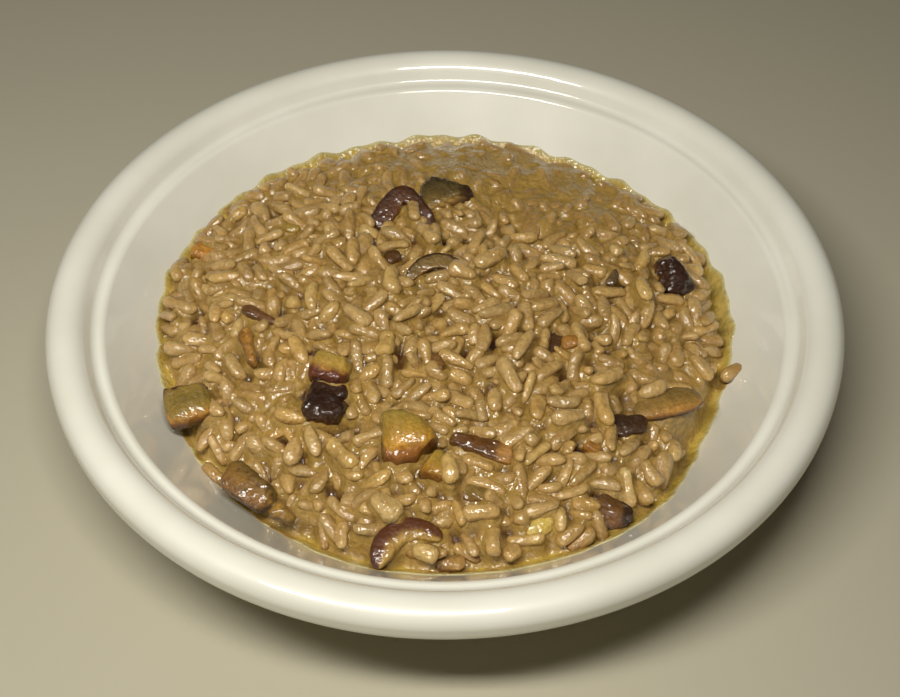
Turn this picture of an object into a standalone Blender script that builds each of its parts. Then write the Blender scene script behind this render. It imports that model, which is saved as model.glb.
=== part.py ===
"""Mushroom risotto on its deep plate: plate, rice heap, broth and each mushroom piece.

Lengths below are millimetres in the plate's own frame: the z axis is the plate's axis, z = 0 is the
table under the foot ring, and -Y is the side that faces the diner. Blender gets them in metres.
"""
import math

import bmesh
import bpy
import numpy as np
from mathutils import Matrix, Vector

MM = 0.001

# plate
RIM_RADIUS = 110.0
RIM_TUBE = 5.6            # radius of the round roll along the rim
RIM_TUBE_HEIGHT = 34.2    # height of the roll's centre
LEDGE_RADIUS = 95.8       # narrow ledge at the top of the wall, inside the roll
LEDGE_HEIGHT = 33.8
SHOULDER = 2.4            # radius of the round edge between ledge and wall
WALL_TOP = (94.0, 33.0)   # where the sloping wall meets the shoulder
WALL_FOOT = (78.6, 14.8)  # where the wall starts to curve into the floor
FLOOR_HEIGHT = 9.5
FLOOR_RADIUS = 52.0
UNDERSIDE_OUT = 2.9       # the underside follows the inner wall, this much farther out
UNDERSIDE_DROP = 3.7      # and this much lower
FOOT_OUTER = 62.0
FOOT_INNER = 57.6
FOOT_WELL = 4.6           # height of the plate's underside inside the foot ring
SEGMENTS = 48

# contents
GAP = 0.3                 # clear space between neighbouring solids
BROTH_LEVEL = 21.0
HEAP_EDGE = 21.8          # height of the heap's edge, just above the broth
HEAP_RISE = 13.1          # from the heap's edge to its crown
FLANK_SPREAD = 0.6        # how much farther out the flank stands at the plate than at the broth
HEAP_RINGS = 7

# radius of the heap's edge, every 30 degrees from +X towards +Y
HEAP_OUTLINE = (78.6, 79.4, 80.2, 80.6, 80.4, 80.2, 79.4, 79.0, 79.2, 80.5, 79.8, 77.0)

# broad swells and hollows of the heap: x, y, radius, height
HEAP_SWELLS = (
    (-16.0, -14.0, 16.0, 1.0),
    (16.0, -10.0, 14.0, 0.9),
    (-30.0, 32.0, 12.0, 0.8),
    (24.0, 44.0, 20.0, -2.4),
    (-34.0, -38.0, 9.0, -1.6),
    (50.0, -35.0, 8.0, -1.6),
    (56.0, 12.0, 12.0, 0.8),
    (-4.0, -44.0, 12.0, 0.9),
    (30.0, -48.0, 11.0, 0.7),
)

# Mushroom pieces. x, y and lift place the middle of a piece, lift being its height over the heap.
# turn is its heading in its own plane, lean raises its far side, roll turns it on its long axis.
# length, width and thick are its sizes, arc the degrees its length bends through, fold (1 is an even
# curve, 0.2 a sharp crease), taper the share by which its far end is narrower, square the fullness
# of its section (2 is an ellipse, 5 nearly a box), belly how far its skin side bulges.
PIECES = {
    "mushroom_folded_cap": dict(
        x=-11.5, y=38.5, lift=1.8, turn=3, lean=24, roll=0,
        length=27, width=5.4, thick=3.6, arc=-112, fold=0.25, taper=0.25, square=2.6, belly=0.0),
    "mushroom_gill_wedge": dict(
        x=2.2, y=48.2, lift=1.4, turn=2, lean=14, roll=-8,
        length=16.5, width=9.5, thick=4.6, arc=8, fold=1.0, taper=0.85, square=3.4, belly=0.8),
    "mushroom_arched_slice": dict(
        x=-1.8, y=12.6, lift=1.2, turn=0, lean=20, roll=0,
        length=22, width=5.4, thick=4.0, arc=-112, fold=0.8, taper=0.1, square=2.8, belly=0.0),
    "mushroom_dark_knob": dict(
        x=65.5, y=15.5, lift=0.6, turn=-64, lean=26, roll=0,
        length=13.5, width=9.0, thick=6.4, arc=-20, fold=1.0, taper=-0.35, square=2.2, belly=1.0),
    "mushroom_dark_strip": dict(
        x=-51.8, y=-3.6, lift=0.7, turn=-30, lean=16, roll=0,
        length=11.5, width=3.2, thick=2.4, arc=6, fold=1.0, taper=0.2, square=3.6, belly=0.2),
    "mushroom_amber_strip": dict(
        x=-54.0, y=-14.4, lift=0.4, turn=-75, lean=14, roll=0,
        length=12.5, width=4.0, thick=3.4, arc=14, fold=1.0, taper=0.3, square=3.0, belly=0.3),
    "mushroom_olive_chunk": dict(
        x=-69.6, y=-30.0, lift=1.6, turn=16, lean=6, roll=6,
        length=13.0, width=12.0, thick=5.4, arc=4, fold=1.0, taper=0.12, square=4.2, belly=0.6),
    "mushroom_yellow_chunk": dict(
        x=-30.8, y=-25.6, lift=1.0, turn=-20, lean=10, roll=4,
        length=11.0, width=9.0, thick=6.0, arc=4, fold=1.0, taper=0.1, square=4.2, belly=0.5),
    "mushroom_black_cap": dict(
        x=-31.8, y=-36.4, lift=0.0, turn=-9, lean=4, roll=0,
        length=13.0, width=8.6, thick=4.8, arc=-22, fold=1.0, taper=0.1, square=2.4, belly=1.2),
    "mushroom_amber_chunk": dict(
        x=-9.6, y=-49.6, lift=2.1, turn=6, lean=4, roll=4,
        length=13.5, width=12.4, thick=8.6, arc=4, fold=1.0, taper=0.16, square=4.6, belly=0.8),
    "mushroom_small_chunk": dict(
        x=-3.0, y=-60.6, lift=1.2, turn=-22, lean=6, roll=-6,
        length=8.6, width=6.6, thick=5.4, arc=4, fold=1.0, taper=0.15, square=4.2, belly=0.3),
    "mushroom_brown_slice": dict(
        x=9.6, y=-51.6, lift=0.7, turn=-16, lean=12, roll=0,
        length=18.5, width=5.0, thick=3.4, arc=-14, fold=1.0, taper=-0.1, square=3.0, belly=0.4),
    "mushroom_tan_slice": dict(
        x=59.8, y=-32.8, lift=1.4, turn=17, lean=6, roll=-4,
        length=19.5, width=7.8, thick=3.4, arc=-12, fold=1.0, taper=-0.1, square=3.2, belly=0.4),
    "mushroom_brown_cap": dict(
        x=42.2, y=-66.2, lift=0.9, turn=-6, lean=8, roll=0,
        length=12.0, width=8.4, thick=4.6, arc=10, fold=1.0, taper=0.45, square=2.6, belly=0.9),
    "mushroom_mottled_cap": dict(
        x=-51.6, y=-57.6, lift=0.9, turn=-38, lean=8, roll=0,
        length=17.0, width=7.8, thick=4.6, arc=10, fold=1.0, taper=0.15, square=2.5, belly=0.9),
    "mushroom_amber_scrap": dict(
        x=-41.8, y=-66.0, lift=0.5, turn=-36, lean=6, roll=0,
        length=7.6, width=4.2, thick=3.0, arc=8, fold=1.0, taper=0.4, square=2.8, belly=0.2),
    "mushroom_red_crescent": dict(
        x=-9.6, y=-73.6, lift=1.3, turn=24, lean=10, roll=0,
        length=23.0, width=6.4, thick=5.0, arc=-118, fold=0.8, taper=0.1, square=2.4, belly=0.0),
    "mushroom_olive_bit": dict(
        x=8.4, y=-64.2, lift=0.4, turn=-14, lean=10, roll=0,
        length=8.0, width=4.6, thick=3.2, arc=8, fold=1.0, taper=0.2, square=3.0, belly=0.3),
    "mushroom_left_bit": dict(
        x=-71.6, y=29.6, lift=0.7, turn=-20, lean=8, roll=0,
        length=8.0, width=5.0, thick=3.4, arc=8, fold=1.0, taper=0.2, square=2.8, belly=0.3),
    "onion_piece": dict(
        x=23.6, y=-71.6, lift=0.9, turn=35, lean=14, roll=0,
        length=9.0, width=6.2, thick=2.4, arc=10, fold=1.0, taper=0.1, square=2.6, belly=0.7),
}
PIECE_STATIONS = 9
PIECE_SIDES = 10

GLAZE = (0.86, 0.86, 0.80)
RICE = (0.42, 0.31, 0.15)
BROTH = (0.46, 0.33, 0.10)
DARK_CUTICLE = (0.085, 0.033, 0.018)
AMBER_FLESH = (0.36, 0.17, 0.035)
OLIVE_FLESH = (0.22, 0.15, 0.04)
TAN_FLESH = (0.30, 0.19, 0.06)
ONION_FLESH = (0.46, 0.33, 0.08)
PIECE_COLOURS = {
    "mushroom_folded_cap": DARK_CUTICLE,
    "mushroom_gill_wedge": OLIVE_FLESH,
    "mushroom_arched_slice": OLIVE_FLESH,
    "mushroom_dark_knob": DARK_CUTICLE,
    "mushroom_dark_strip": DARK_CUTICLE,
    "mushroom_olive_chunk": OLIVE_FLESH,
    "mushroom_black_cap": DARK_CUTICLE,
    "mushroom_brown_slice": DARK_CUTICLE,
    "mushroom_tan_slice": TAN_FLESH,
    "mushroom_brown_cap": DARK_CUTICLE,
    "mushroom_red_crescent": DARK_CUTICLE,
    "mushroom_olive_bit": OLIVE_FLESH,
    "onion_piece": ONION_FLESH,
}


def material(name, colour, roughness):
    """A Principled material of one colour (linear values)."""
    made = bpy.data.materials.new(name)
    made.use_nodes = True
    shader = made.node_tree.nodes["Principled BSDF"]
    shader.inputs["Base Color"].default_value = (*colour, 1.0)
    shader.inputs["Roughness"].default_value = roughness
    shader.inputs["Metallic"].default_value = 0.0
    return made


def add_object(name, points, faces, look):
    """A smooth-shaded object from points in millimetres and lists of corner numbers."""
    mesh = bpy.data.meshes.new(name)
    mesh.from_pydata((np.asarray(points) * MM).tolist(), [], faces)
    mesh.materials.append(look)
    mesh.shade_smooth()
    mesh.set_sharp_from_angle(angle=math.radians(40))
    made = bpy.data.objects.new(name, mesh)
    bpy.context.scene.collection.objects.link(made)
    return made


def triangulate(target):
    """Split the faces into triangles, so that bent quads keep the surface they were given."""
    work = bmesh.new()
    work.from_mesh(target.data)
    bmesh.ops.triangulate(work, faces=work.faces)
    bmesh.ops.recalc_face_normals(work, faces=work.faces)
    if work.calc_volume(signed=True) < 0:
        bmesh.ops.reverse_faces(work, faces=work.faces)
    work.to_mesh(target.data)
    work.free()


def ring_angles():
    return np.arange(SEGMENTS) * 2 * math.pi / SEGMENTS


def ring_faces(first, second):
    """Quads between two rings of SEGMENTS points that start at the given point numbers."""
    faces = []
    for i in range(SEGMENTS):
        j = (i + 1) % SEGMENTS
        faces.append((first + i, first + j, second + j, second + i))
    return faces


def arc_points(centre, radius, start, end, count):
    """Points (r, z) along an arc, angles in degrees from +r towards +z."""
    angles = np.radians(np.linspace(start, end, count))
    return [(centre[0] + radius * math.cos(a), centre[1] + radius * math.sin(a)) for a in angles]


def floor_curve(count):
    """Points (r, z) from the flat floor up the hollow curve to the foot of the wall."""
    slope = (WALL_TOP[1] - WALL_FOOT[1]) / (WALL_TOP[0] - WALL_FOOT[0])
    start = Vector((FLOOR_RADIUS, FLOOR_HEIGHT))
    end = Vector(WALL_FOOT)
    corner = Vector((end.x - (end.y - FLOOR_HEIGHT) / slope, FLOOR_HEIGHT))
    points = []
    for t in np.linspace(0.0, 1.0, count):
        here = start * (1 - t) ** 2 + corner * 2 * t * (1 - t) + end * t ** 2
        points.append((here.x, here.y))
    return points


def wall_profile():
    """The plate's inner surface (r, z), from the floor to the top of the wall."""
    return floor_curve(6) + [WALL_TOP]


def wall_height(r):
    inner = wall_profile()
    return float(np.interp(r, [p[0] for p in inner], [p[1] for p in inner]))


def wall_radius(z):
    inner = wall_profile()[1:]
    return float(np.interp(z, [p[1] for p in inner], [p[0] for p in inner]))


def plate_profile():
    """Closed outline of the plate's section, from the axis over the top and back underneath."""
    tube = (RIM_RADIUS - RIM_TUBE, RIM_TUBE_HEIGHT)
    inner = wall_profile()
    top = [(0.0, FLOOR_HEIGHT)] + inner
    shoulder = arc_points((LEDGE_RADIUS, LEDGE_HEIGHT - SHOULDER), SHOULDER, 122, 90, 3)
    fillet = [(LEDGE_RADIUS + 1.1, LEDGE_HEIGHT + 0.2), (LEDGE_RADIUS + 2.2, LEDGE_HEIGHT + 1.1)]
    roll = arc_points(tube, RIM_TUBE, 146, -95, 11)
    under = [(tube[0] - 8.1, RIM_TUBE_HEIGHT - RIM_TUBE)]
    for r, z in reversed(inner[:-1]):
        if r > FOOT_OUTER + 1.0:
            under.append((r + UNDERSIDE_OUT, z - UNDERSIDE_DROP))
    foot = [
        (FOOT_OUTER + 1.0, 4.4),
        (FOOT_OUTER, 0.5),
        (FOOT_OUTER - 0.6, 0.0),
        (FOOT_INNER + 0.6, 0.0),
        (FOOT_INNER, 0.5),
        (FOOT_INNER - 1.0, FOOT_WELL),
        (0.0, FOOT_WELL),
    ]
    return top + shoulder + fillet + roll + under + foot


def make_plate(look):
    """Turn the section about the z axis; its first and last points are the poles."""
    profile = plate_profile()
    angles = ring_angles()
    points = [(0.0, 0.0, profile[0][1])]
    for r, z in profile[1:-1]:
        points += [(r * math.cos(a), r * math.sin(a), z) for a in angles]
    points.append((0.0, 0.0, profile[-1][1]))
    last = len(points) - 1
    faces = []
    for i in range(SEGMENTS):
        j = (i + 1) % SEGMENTS
        faces.append((0, 1 + i, 1 + j))
        faces.append((last, last - SEGMENTS + j, last - SEGMENTS + i))
    for ring in range(len(profile) - 3):
        first = 1 + ring * SEGMENTS
        faces += ring_faces(first + SEGMENTS, first)
    plate = add_object("plate", points, faces, look)
    triangulate(plate)
    return plate


def heap_radius(angle):
    """Radius of the heap's uneven edge: a smooth periodic curve through HEAP_OUTLINE."""
    count = len(HEAP_OUTLINE)
    place = (angle / (2 * math.pi) * count) % count
    i = int(place)
    t = place - i
    before, here, after, beyond = (HEAP_OUTLINE[(i + k) % count] for k in (-1, 0, 1, 2))
    rise = (after - before) / 2
    next_rise = (beyond - here) / 2
    return (
        (2 * t ** 3 - 3 * t ** 2 + 1) * here
        + (t ** 3 - 2 * t ** 2 + t) * rise
        + (3 * t ** 2 - 2 * t ** 3) * after
        + (t ** 3 - t ** 2) * next_rise)


def heap_height(x, y):
    """Height of the heap's surface: a rounded dome over its outline, with swells and hollows."""
    share = min(math.hypot(x, y) / heap_radius(math.atan2(y, x)), 1.0)
    height = HEAP_EDGE + HEAP_RISE * (1 - share ** 2.3) ** 0.85
    fade = 1 - share ** 6
    for swell_x, swell_y, radius, rise in HEAP_SWELLS:
        away = ((x - swell_x) ** 2 + (y - swell_y) ** 2) / radius ** 2
        height += rise * fade * math.exp(-away)
    return height


def make_heap(look):
    """The rice as one solid: domed top, steep flank at the broth, underside along the plate."""
    angles = ring_angles()
    shares = [(k / HEAP_RINGS) ** 0.85 for k in range(1, HEAP_RINGS + 1)]
    points = [(0.0, 0.0, heap_height(0.0, 0.0))]
    for share in shares:
        for a in angles:
            r = share * heap_radius(a)
            x, y = r * math.cos(a), r * math.sin(a)
            points.append((x, y, heap_height(x, y)))
    under = [p[0] for p in reversed(wall_profile()[:-2])]
    for a in angles:
        r = heap_radius(a) + FLANK_SPREAD
        points.append((r * math.cos(a), r * math.sin(a), wall_height(r) + GAP))
    for r in under:
        points += [(r * math.cos(a), r * math.sin(a), wall_height(r) + GAP) for a in angles]
    points.append((0.0, 0.0, FLOOR_HEIGHT + GAP))
    last = len(points) - 1
    faces = []
    for i in range(SEGMENTS):
        j = (i + 1) % SEGMENTS
        faces.append((0, 1 + i, 1 + j))
        faces.append((last, last - SEGMENTS + j, last - SEGMENTS + i))
    for ring in range(HEAP_RINGS + len(under)):
        first = 1 + ring * SEGMENTS
        faces += ring_faces(first + SEGMENTS, first)
    heap = add_object("rice_heap", points, faces, look)
    triangulate(heap)
    return heap


def make_broth(look):
    """The thin broth around the heap: a wedge ring between the flank and the plate's wall."""
    angles = ring_angles()
    outer = wall_radius(BROTH_LEVEL - GAP)
    drop = (HEAP_EDGE - BROTH_LEVEL) / (HEAP_EDGE - wall_height(HEAP_OUTLINE[0]) - GAP)
    inner_top, inner_foot, outer_top = [], [], []
    for a in angles:
        foot = heap_radius(a) + FLANK_SPREAD + GAP * 1.5
        top = heap_radius(a) + FLANK_SPREAD * drop + GAP * 1.5
        direction = Vector((math.cos(a), math.sin(a), 0.0))
        inner_top.append(direction * top + Vector((0, 0, BROTH_LEVEL)))
        inner_foot.append(direction * foot + Vector((0, 0, wall_height(foot) + GAP)))
        outer_top.append(direction * outer + Vector((0, 0, BROTH_LEVEL)))
    points = [tuple(p) for p in inner_top + inner_foot + outer_top]
    faces = ring_faces(SEGMENTS, 0) + ring_faces(2 * SEGMENTS, SEGMENTS) + ring_faces(0, 2 * SEGMENTS)
    broth = add_object("broth", points, faces, look)
    triangulate(broth)
    return broth


def piece_path(length, arc, fold, stations):
    """Midline of a piece in its plane: places and headings, turning fastest at the middle."""
    fine = 20 * (stations - 1) + 1
    u = np.linspace(-1, 1, fine)
    heading = math.radians(arc) / 2 * np.tanh(u / fold) / math.tanh(1 / fold)
    step = length / (fine - 1)
    middle = (heading[1:] + heading[:-1]) / 2
    x = np.concatenate(([0.0], np.cumsum(np.cos(middle)) * step))
    y = np.concatenate(([0.0], np.cumsum(np.sin(middle)) * step))
    x -= (x.max() + x.min()) / 2
    y -= (y.max() + y.min()) / 2
    return u[::20], x[::20], y[::20], heading[::20]


def piece_points(shape, spare=0.0):
    """Rings of points around a piece's midline, with a pole at each end; spare makes it fatter."""
    length = shape["length"] + 2 * spare
    u, x, y, heading = piece_path(length, shape["arc"], shape["fold"], PIECE_STATIONS)
    around = (np.arange(PIECE_SIDES) + 0.5) * 2 * math.pi / PIECE_SIDES
    power = 2 / shape["square"]
    across = np.sign(np.cos(around)) * np.abs(np.cos(around)) ** power
    upward = np.sign(np.sin(around)) * np.abs(np.sin(around)) ** power
    fullness = 2.0 + shape["square"]
    points = [(x[0], y[0], 0.0)]
    for i in range(1, PIECE_STATIONS - 1):
        ends = (1 - abs(u[i]) ** fullness) ** 0.5
        half_width = (shape["width"] / 2 * (1 - shape["taper"] * u[i] / 1.2) + spare) * ends
        half_thick = (shape["thick"] / 2 + spare) * ends ** 0.8
        bulge = shape["belly"] * (1 - u[i] ** 2)
        for side, height in zip(across * half_width, upward * half_thick):
            points.append((
                x[i] - side * math.sin(heading[i]),
                y[i] + side * math.cos(heading[i]),
                height + bulge * (1 - (side / half_width) ** 2 * 0.6),
            ))
    points.append((x[-1], y[-1], 0.0))
    return points


def piece_faces():
    last = 1 + (PIECE_STATIONS - 2) * PIECE_SIDES
    faces = []
    for k in range(PIECE_SIDES):
        n = (k + 1) % PIECE_SIDES
        faces.append((0, 1 + n, 1 + k))
        faces.append((last, last - PIECE_SIDES + k, last - PIECE_SIDES + n))
    for i in range(PIECE_STATIONS - 3):
        first = 1 + i * PIECE_SIDES
        for k in range(PIECE_SIDES):
            n = (k + 1) % PIECE_SIDES
            faces.append((first + k, first + n, first + PIECE_SIDES + n, first + PIECE_SIDES + k))
    return faces


def place(piece, shape):
    """Turn a piece in its plane, lean it and set it over the heap's surface."""
    height = heap_height(shape["x"], shape["y"]) + shape["lift"]
    piece.matrix_world = (
        Matrix.Translation(Vector((shape["x"], shape["y"], height)) * MM)
        @ Matrix.Rotation(math.radians(shape["lean"]), 4, "X")
        @ Matrix.Rotation(math.radians(shape["turn"]), 4, "Z")
        @ Matrix.Rotation(math.radians(shape["roll"]), 4, "X"))


def make_piece(name, shape, look, spare=0.0):
    piece = add_object(name, piece_points(shape, spare), piece_faces(), look)
    triangulate(piece)
    place(piece, shape)
    return piece


def cut_pockets(heap, look):
    """Hollow the heap where each piece sits, by the same shape made fatter all round."""
    cutters = bpy.data.collections.new("pocket_cutters")
    bpy.context.scene.collection.children.link(cutters)
    for name, shape in PIECES.items():
        cutter = make_piece(name + "_pocket", shape, look, spare=GAP * 1.3)
        bpy.context.scene.collection.objects.unlink(cutter)
        cutters.objects.link(cutter)
        cutter.hide_render = True
        cutter.display_type = "WIRE"
    cut = heap.modifiers.new("pockets", "BOOLEAN")
    cut.operation = "DIFFERENCE"
    cut.solver = "EXACT"
    cut.operand_type = "COLLECTION"
    cut.collection = cutters


def main():
    for old in list(bpy.data.objects):
        bpy.data.objects.remove(old)
    make_plate(material("glazed_porcelain", GLAZE, 0.15))
    rice = material("cooked_rice", RICE, 0.4)
    heap = make_heap(rice)
    make_broth(material("broth", BROTH, 0.15))
    for name, shape in PIECES.items():
        colour = PIECE_COLOURS.get(name, AMBER_FLESH)
        make_piece(name, shape, material(name + "_flesh", colour, 0.35))
    cut_pockets(heap, rice)


main()
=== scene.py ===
"""Mushroom risotto on its deep plate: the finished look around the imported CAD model.

Lengths in the code are millimetres unless a name says otherwise, and z = 0 is the table. The rice
grains are laid one by one on a height map of the heap, the sauce is drawn over that map the way a
liquid bridges small gaps, and the mushroom pieces take the places of their CAD solids.
"""

import functools
import math

import bpy
import numpy as np
from bpy.props import FloatProperty, FloatVectorProperty, PointerProperty
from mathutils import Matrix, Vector


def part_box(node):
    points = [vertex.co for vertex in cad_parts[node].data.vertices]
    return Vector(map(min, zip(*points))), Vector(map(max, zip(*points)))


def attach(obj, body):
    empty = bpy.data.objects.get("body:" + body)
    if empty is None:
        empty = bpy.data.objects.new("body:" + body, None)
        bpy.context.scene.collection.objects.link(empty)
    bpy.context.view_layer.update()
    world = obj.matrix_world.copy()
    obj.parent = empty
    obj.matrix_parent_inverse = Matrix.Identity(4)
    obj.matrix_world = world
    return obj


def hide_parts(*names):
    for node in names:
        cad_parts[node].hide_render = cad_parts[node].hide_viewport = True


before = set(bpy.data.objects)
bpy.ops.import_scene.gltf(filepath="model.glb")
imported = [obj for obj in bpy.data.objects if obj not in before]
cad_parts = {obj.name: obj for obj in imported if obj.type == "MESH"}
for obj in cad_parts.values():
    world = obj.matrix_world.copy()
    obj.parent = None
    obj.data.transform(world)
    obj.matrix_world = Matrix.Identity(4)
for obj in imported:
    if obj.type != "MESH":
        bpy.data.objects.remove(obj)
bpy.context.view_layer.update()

bl_info = {
    "name": "Mushroom risotto plate",
    "version": (1, 0, 0),
    "blender": (4, 5, 0),
    "location": "View3D > Sidebar > Risotto",
    "description": "Builds a deep plate of mushroom risotto around its packed CAD model",
    "category": "Object",
}

MM = 0.001
SEED = 1812

# --- plate sizes -----------------------------------------------------------------------------
PLATE_LOW, PLATE_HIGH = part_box("plate")
RIM_RADIUS = (PLATE_HIGH.x - PLATE_LOW.x) / 2 / MM
RIM_HEIGHT = PLATE_HIGH.z / MM
ROLL_TOP_SIZE = 6.4
ROLL_SIDE_SIZE = 4.4
ROLL_CREST_IN = 5.3
ROLL_MEET = 62
LEDGE_RADIUS = 95.8
LEDGE_HEIGHT = 33.8
SHOULDER = 2.4
FILLET = 2.6
WALL_TOP = (94.0, 33.0)
WALL_FOOT = (78.6, 14.8)
FLOOR_HEIGHT = 9.5
FLOOR_RADIUS = 52.0
UNDERSIDE_OUT = 2.9
UNDERSIDE_DROP = 3.7
FOOT_OUTER = 62.0
FOOT_INNER = 57.6
FOOT_FILLET = 0.8
FOOT_WELL = 4.6
PLATE_SEGMENTS = 288

# --- heap ------------------------------------------------------------------------------------
# The crown of the dome, and the swells and hollows on it: x, y, radius, rise.
BROTH_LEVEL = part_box("broth")[1].z / MM
HEAP_CROWN = BROTH_LEVEL + 13.9
HEAP_SWELLS = (
    (-16.0, -14.0, 16.0, 1.0),
    (16.0, -10.0, 14.0, 0.9),
    (-30.0, 32.0, 12.0, 0.8),
    (24.0, 44.0, 20.0, -2.4),
    (-34.0, -38.0, 9.0, -1.6),
    (50.0, -35.0, 8.0, -1.6),
    (56.0, 12.0, 12.0, 0.8),
    (-4.0, -44.0, 12.0, 0.9),
    (30.0, -48.0, 11.0, 0.7),
)

# How wet the heap is: x, y, radius, amount. 1 drowns the grains, 0 leaves them standing clear.
WET_PLACES = (
    (36.0, 60.0, 25.0, 1.0),
    (4.0, 68.0, 19.0, 1.0),
    (-34.0, 68.0, 14.0, 0.5),
    (72.0, -30.0, 9.0, 0.6),
    (-46.0, -33.0, 8.0, 0.35),
)

# Radius where the liquor ends on the plate's wall, every 15 degrees from +X towards +Y.
SHORE = (
    83.0, 84.5, 84.5, 84.5, 84.5, 85.0, 85.5, 85.0, 85.5, 85.5, 85.0, 85.0,
    83.0, 81.0, 79.5, 79.5, 80.5, 85.0, 84.0, 85.5, 86.0, 84.0, 80.0, 80.5,
)

# How broad the clear liquor in front of the grains is, every 30 degrees: 0 narrow, 1 broad, and a
# little over 1 at its broadest.
LIQUOR_BAND = (1.0, 1.0, 1.0, 1.2, 0.7, 0.2, 0.2, 0.6, 0.7, 0.3, 0.5, 1.0)

# --- height map of the heap ------------------------------------------------------------------
MAP_HALF = 90.0
MAP_CELL = 0.5
MAP_SIZE = int(2 * MAP_HALF / MAP_CELL) + 1


# --- small helpers ---------------------------------------------------------------------------
def linear(hex_colour):
    """sRGB hex to a linear (r, g, b) array, by the standard's own curve."""
    value = np.array([int(hex_colour[i:i + 2], 16) for i in (1, 3, 5)]) / 255
    return np.where(value <= 0.04045, value / 12.92, ((value + 0.055) / 1.055) ** 2.4)


def smooth(low, high, value):
    """0 below low, 1 above high, and the cubic 3t^2 - 2t^3 between them."""
    t = np.clip((value - low) / (high - low), 0.0, 1.0)
    return t * t * (3 - 2 * t)


def blend(first, second, share):
    """Colours that go from first to second by a share for each point."""
    share = share[:, None]
    return first * (1 - share) + second * share


def lumps(points, size, seed):
    """Smooth noise from -1 to 1: random values on a lattice of that size, blended cubically."""
    place = np.asarray(points) / size + 1000.0
    corner = np.floor(place).astype(np.int64)
    t = place - corner
    t = t * t * (3 - 2 * t)
    total = np.zeros(len(place))
    for dx in (0, 1):
        for dy in (0, 1):
            for dz in (0, 1):
                key = (corner[:, 0] + dx) * 73856093 ^ (corner[:, 1] + dy) * 19349663
                key = (key ^ (corner[:, 2] + dz) * 83492791) + seed * 2654435761
                key = (key ^ (key >> 13)) * 1274126177 & 0xFFFFFFFF
                value = ((key ^ (key >> 16)) & 0xFFFF) / 32767.5 - 1.0
                weight = np.abs(1 - dx - t[:, 0]) * np.abs(1 - dy - t[:, 1]) * np.abs(1 - dz - t[:, 2])
                total += value * weight
    return total


def flat_lumps(x, y, size, seed):
    """The same noise at height 0 over two square arrays, x and y."""
    return lumps(np.stack((x, y, x * 0), -1).reshape(-1, 3), size, seed).reshape(x.shape)


def mesh_piece(name, points, quads, triangles, look, tint=None):
    """A smooth-shaded object from arrays: points in mm, quads and triangles of corner numbers."""
    quads = np.asarray(quads, dtype=np.int32).reshape(-1, 4)
    triangles = np.asarray(triangles, dtype=np.int32).reshape(-1, 3)
    corners = np.concatenate((quads.ravel(), triangles.ravel()))
    counts = np.concatenate((np.full(len(quads), 4), np.full(len(triangles), 3)))
    mesh = bpy.data.meshes.new(name)
    mesh.vertices.add(len(points))
    mesh.vertices.foreach_set("co", (np.asarray(points) * MM).astype(np.float32).ravel())
    mesh.loops.add(len(corners))
    mesh.loops.foreach_set("vertex_index", corners)
    mesh.polygons.add(len(counts))
    mesh.polygons.foreach_set("loop_start", np.concatenate(([0], np.cumsum(counts)[:-1])))
    mesh.polygons.foreach_set("use_smooth", np.ones(len(counts), dtype=bool))
    mesh.update(calc_edges=True)
    if tint is not None:
        colours = np.ones((len(points), 4), dtype=np.float32)
        colours[:, :3] = np.clip(tint, 0.0, 1.0)
        layer = mesh.color_attributes.new("tint", "FLOAT_COLOR", "POINT")
        layer.data.foreach_set("color", colours.ravel())
    mesh.materials.append(look)
    piece = bpy.data.objects.new(name, mesh)
    bpy.context.scene.collection.objects.link(piece)
    return piece


def tube_quads(rings, sides, start=0):
    """Quads of a tube of rings x sides points, numbered ring by ring, facing outwards."""
    ring, side = np.meshgrid(np.arange(rings - 1), np.arange(sides), indexing="ij")
    here = start + ring * sides + side
    beside = start + ring * sides + (side + 1) % sides
    return np.stack((here, beside, beside + sides, here + sides), axis=-1).reshape(-1, 4)


# --- the plate -------------------------------------------------------------------------------
def arc(centre, radius, start, end, count):
    """Points (r, z) on an arc, angles in degrees from +r towards +z."""
    angles = np.radians(np.linspace(start, end, count))
    return np.stack((centre[0] + radius * np.cos(angles), centre[1] + radius * np.sin(angles)), -1)


def curve(start, corner, end, count):
    """Points on the quadratic curve from start to end that the corner point pulls."""
    t = np.linspace(0, 1, count)[:, None]
    return np.array(start) * (1 - t) ** 2 + np.array(corner) * 2 * t * (1 - t) + np.array(end) * t ** 2


@functools.lru_cache(maxsize=None)
def inner_profile():
    """The plate's inner surface (r, z): hollow curve from the flat floor, then the straight wall."""
    slope = (WALL_TOP[1] - WALL_FOOT[1]) / (WALL_TOP[0] - WALL_FOOT[0])
    corner = (WALL_FOOT[0] - (WALL_FOOT[1] - FLOOR_HEIGHT) / slope, FLOOR_HEIGHT)
    hollow = curve((FLOOR_RADIUS, FLOOR_HEIGHT), corner, WALL_FOOT, 24)
    return np.concatenate((hollow, [WALL_TOP]))


def plate_height(r):
    """Height of the plate's inner surface at radius r, out to the top of the wall."""
    profile = inner_profile()
    past = np.maximum(r - WALL_TOP[0], 0.0)
    slope = (WALL_TOP[1] - WALL_FOOT[1]) / (WALL_TOP[0] - WALL_FOOT[0])
    return np.interp(r, profile[:, 0], profile[:, 1]) + past * slope


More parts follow.
